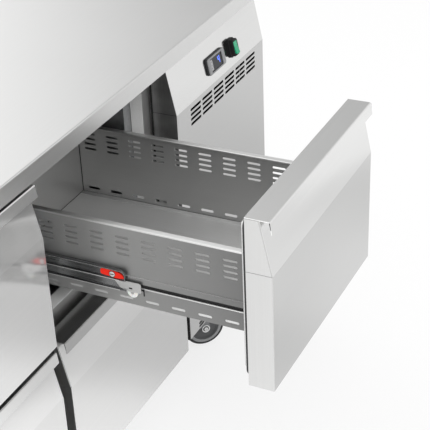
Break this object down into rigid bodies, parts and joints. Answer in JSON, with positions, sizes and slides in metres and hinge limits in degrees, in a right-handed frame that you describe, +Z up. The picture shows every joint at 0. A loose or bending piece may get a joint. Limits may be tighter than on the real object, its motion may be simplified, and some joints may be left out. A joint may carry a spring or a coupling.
{
  "type": "refrigerated counter",
  "caption": "Stainless steel refrigerated counter on castors with wide drawers on telescopic slides, sloped handle fronts and a vented machine compartment at the right; one drawer stands open.",
  "frame": {"origin": "on the floor, under the middle of the box that holds the whole counter with its upper right drawer out by 0.405 m", "axes": "+X to the right along the front, +Y from the drawers to the rear, +Z up"},
  "size_m": [1.381, 1.105, 0.85],
  "materials": {
    "brushed_steel": "brushed stainless steel sheet",
    "bright_steel": "smooth bright stainless steel sheet",
    "zinc": "bright zinc plate",
    "aluminium": "bare fins",
    "dark_plastic": "satin black",
    "pale_plastic": "satin white",
    "grey_rubber": "matt dark grey",
    "silver_plastic": "silver grey",
    "red_plastic": "red",
    "green_plastic": "translucent green",
    "black_paint": "black enamel"
  },
  "bodies": {
    "cabinet": {"worktop": "brushed_steel", "front_frame": "brushed_steel", "left_side_panel": "brushed_steel", "partition_panel": "brushed_steel", "rear_panel": "brushed_steel", "machine_panel": "brushed_steel", "machine_side_panel": "brushed_steel", "machine_rear_grille": "brushed_steel", "ceiling_panel": "bright_steel", "floor_panel": "bright_steel", "evaporator_cover": "bright_steel", "left_column_left_support": "zinc", "left_column_right_support": "zinc", "right_column_left_support": "zinc", "right_column_right_support": "zinc", "machine_base": "zinc", "controller": "silver_plastic", "display_window": "dark_plastic", "switch_housing": "dark_plastic", "condenser": "aluminium", "evaporator_coil": "aluminium", "fan_shroud": "black_paint", "compressor": "black_paint"},
    "rocker": {"switch_rocker": "green_plastic"},
    "condenser_fan": {"condenser_fan": "dark_plastic"},
    "evaporator_fan": {"evaporator_fan": "dark_plastic"},
    "upper_left_drawer": {"upper_left_front": "brushed_steel", "upper_left_gasket": "grey_rubber", "upper_left_box": "bright_steel"},
    "upper_left_left_slide": {"upper_left_left_slide": "zinc"},
    "upper_left_right_slide": {"upper_left_right_slide": "zinc"},
    "lower_left_drawer": {"lower_left_front": "brushed_steel", "lower_left_gasket": "grey_rubber", "lower_left_box": "bright_steel"},
    "lower_left_left_slide": {"lower_left_left_slide": "zinc"},
    "lower_left_right_slide": {"lower_left_right_slide": "zinc"},
    "upper_right_drawer": {"upper_right_front": "brushed_steel", "upper_right_gasket": "grey_rubber", "upper_right_box": "bright_steel"},
    "upper_right_left_slide": {"upper_right_left_slide": "zinc"},
    "upper_right_left_front_roller": {"upper_right_left_front_roller": "pale_plastic"},
    "upper_right_left_rear_roller": {"upper_right_left_rear_roller": "pale_plastic"},
    "upper_right_left_release_lever": {"upper_right_left_release_lever": "red_plastic"},
    "upper_right_right_slide": {"upper_right_right_slide": "zinc"},
    "upper_right_right_front_roller": {"upper_right_right_front_roller": "pale_plastic"},
    "upper_right_right_rear_roller": {"upper_right_right_rear_roller": "pale_plastic"},
    "upper_right_right_release_lever": {"upper_right_right_release_lever": "red_plastic"},
    "lower_right_drawer": {"lower_right_front": "brushed_steel", "lower_right_gasket": "grey_rubber", "lower_right_box": "bright_steel"},
    "lower_right_left_slide": {"lower_right_left_slide": "zinc"},
    "lower_right_right_slide": {"lower_right_right_slide": "zinc"},
    "front_left_castor": {"front_left_castor_fork": "zinc"},
    "front_left_wheel": {"front_left_castor_wheel": "grey_rubber"},
    "front_right_castor": {"front_right_castor_fork": "zinc"},
    "front_right_wheel": {"front_right_castor_wheel": "grey_rubber"},
    "rear_left_castor": {"rear_left_castor_fork": "zinc"},
    "rear_left_wheel": {"rear_left_castor_wheel": "grey_rubber"},
    "rear_right_castor": {"rear_right_castor_fork": "zinc"},
    "rear_right_wheel": {"rear_right_castor_wheel": "grey_rubber"}
  },
  "joints": [
    {"name": "upper_left_drawer_slide", "type": "slide", "parent": "cabinet", "child": "upper_left_drawer", "axis": [0, -1, 0], "range_m": [0, 0.45]},
    {"name": "upper_left_left_slide_travel", "type": "slide", "parent": "cabinet", "child": "upper_left_left_slide", "axis": [0, -1, 0], "range_m": [0, 0.225]},
    {"name": "upper_left_right_slide_travel", "type": "slide", "parent": "cabinet", "child": "upper_left_right_slide", "axis": [0, -1, 0], "range_m": [0, 0.225]},
    {"name": "lower_left_drawer_slide", "type": "slide", "parent": "cabinet", "child": "lower_left_drawer", "axis": [0, -1, 0], "range_m": [0, 0.45]},
    {"name": "lower_left_left_slide_travel", "type": "slide", "parent": "cabinet", "child": "lower_left_left_slide", "axis": [0, -1, 0], "range_m": [0, 0.225]},
    {"name": "lower_left_right_slide_travel", "type": "slide", "parent": "cabinet", "child": "lower_left_right_slide", "axis": [0, -1, 0], "range_m": [0, 0.225]},
    {"name": "upper_right_drawer_slide", "type": "slide", "parent": "cabinet", "child": "upper_right_drawer", "axis": [0, -1, 0], "range_m": [-0.405, 0.045]},
    {"name": "upper_right_left_slide_travel", "type": "slide", "parent": "cabinet", "child": "upper_right_left_slide", "axis": [0, -1, 0], "range_m": [-0.2025, 0.0225]},
    {"name": "upper_right_left_front_roller_spin", "type": "hinge", "parent": "upper_right_left_slide", "child": "upper_right_left_front_roller", "pos_m": [-0.1391, -0.259, 0.5732], "axis": [1, 0, 0], "continuous": true},
    {"name": "upper_right_left_rear_roller_spin", "type": "hinge", "parent": "upper_right_drawer", "child": "upper_right_left_rear_roller", "pos_m": [-0.1375, -0.0927, 0.604], "axis": [1, 0, 0], "continuous": true},
    {"name": "upper_right_left_release_lever_pivot", "type": "hinge", "parent": "upper_right_left_slide", "child": "upper_right_left_release_lever", "pos_m": [-0.1439, -0.2205, 0.606], "axis": [1, 0, 0], "range_deg": [-6, 6]},
    {"name": "upper_right_right_slide_travel", "type": "slide", "parent": "cabinet", "child": "upper_right_right_slide", "axis": [0, -1, 0], "range_m": [-0.2025, 0.0225]},
    {"name": "upper_right_right_front_roller_spin", "type": "hinge", "parent": "upper_right_right_slide", "child": "upper_right_right_front_roller", "pos_m": [0.1981, -0.259, 0.5732], "axis": [1, 0, 0], "continuous": true},
    {"name": "upper_right_right_rear_roller_spin", "type": "hinge", "parent": "upper_right_drawer", "child": "upper_right_right_rear_roller", "pos_m": [0.1965, -0.0927, 0.604], "axis": [1, 0, 0], "continuous": true},
    {"name": "upper_right_right_release_lever_pivot", "type": "hinge", "parent": "upper_right_right_slide", "child": "upper_right_right_release_lever", "pos_m": [0.2029, -0.2205, 0.606], "axis": [1, 0, 0], "range_deg": [-6, 6]},
    {"name": "lower_right_drawer_slide", "type": "slide", "parent": "cabinet", "child": "lower_right_drawer", "axis": [0, -1, 0], "range_m": [0, 0.45]},
    {"name": "lower_right_left_slide_travel", "type": "slide", "parent": "cabinet", "child": "lower_right_left_slide", "axis": [0, -1, 0], "range_m": [0, 0.225]},
    {"name": "lower_right_right_slide_travel", "type": "slide", "parent": "cabinet", "child": "lower_right_right_slide", "axis": [0, -1, 0], "range_m": [0, 0.225]},
    {"name": "rocker_tilt", "type": "hinge", "parent": "cabinet", "child": "rocker", "pos_m": [0.5405, -0.15022, 0.75024], "axis": [1, 0, 0], "range_deg": [0, 16]},
    {"name": "condenser_fan_spin", "type": "hinge", "parent": "cabinet", "child": "condenser_fan", "pos_m": [0.4735, 0.0468, 0.2707], "axis": [0, 1, 0], "continuous": true},
    {"name": "evaporator_fan_spin", "type": "hinge", "parent": "cabinet", "child": "evaporator_fan", "pos_m": [-0.215, 0.1824, 0.478], "axis": [1, 0, 0], "continuous": true},
    {"name": "front_left_castor_swivel", "type": "hinge", "parent": "cabinet", "child": "front_left_castor", "pos_m": [-0.4585, -0.044, 0.12], "axis": [0, 0, 1], "continuous": true},
    {"name": "front_left_wheel_spin", "type": "hinge", "parent": "front_left_castor", "child": "front_left_wheel", "pos_m": [-0.43217, -0.06855, 0.04938], "axis": [0.682, 0.7314, 0], "continuous": true},
    {"name": "front_right_castor_swivel", "type": "hinge", "parent": "cabinet", "child": "front_right_castor", "pos_m": [0.4585, -0.044, 0.12], "axis": [0, 0, 1], "continuous": true},
    {"name": "front_right_wheel_spin", "type": "hinge", "parent": "front_right_castor", "child": "front_right_wheel", "pos_m": [0.48483, -0.06855, 0.04938], "axis": [0.682, 0.7314, 0], "continuous": true},
    {"name": "rear_left_castor_swivel", "type": "hinge", "parent": "cabinet", "child": "rear_left_castor", "pos_m": [-0.4585, 0.4375, 0.12], "axis": [0, 0, 1], "continuous": true},
    {"name": "rear_left_wheel_spin", "type": "hinge", "parent": "rear_left_castor", "child": "rear_left_wheel", "pos_m": [-0.43217, 0.41295, 0.04938], "axis": [0.682, 0.7314, 0], "continuous": true},
    {"name": "rear_right_castor_swivel", "type": "hinge", "parent": "cabinet", "child": "rear_right_castor", "pos_m": [0.4585, 0.4375, 0.12], "axis": [0, 0, 1], "continuous": true},
    {"name": "rear_right_wheel_spin", "type": "hinge", "parent": "rear_right_castor", "child": "rear_right_wheel", "pos_m": [0.48483, 0.41295, 0.04938], "axis": [0.682, 0.7314, 0], "continuous": true}
  ],
  "couplings": [
    {"joint": "upper_left_left_slide_travel", "follows": "upper_left_drawer_slide", "ratio": 0.5},
    {"joint": "upper_left_right_slide_travel", "follows": "upper_left_drawer_slide", "ratio": 0.5},
    {"joint": "lower_left_left_slide_travel", "follows": "lower_left_drawer_slide", "ratio": 0.5},
    {"joint": "lower_left_right_slide_travel", "follows": "lower_left_drawer_slide", "ratio": 0.5},
    {"joint": "upper_right_left_slide_travel", "follows": "upper_right_drawer_slide", "ratio": 0.5},
    {"joint": "upper_right_right_slide_travel", "follows": "upper_right_drawer_slide", "ratio": 0.5},
    {"joint": "lower_right_left_slide_travel", "follows": "lower_right_drawer_slide", "ratio": 0.5},
    {"joint": "lower_right_right_slide_travel", "follows": "lower_right_drawer_slide", "ratio": 0.5}
  ]
}
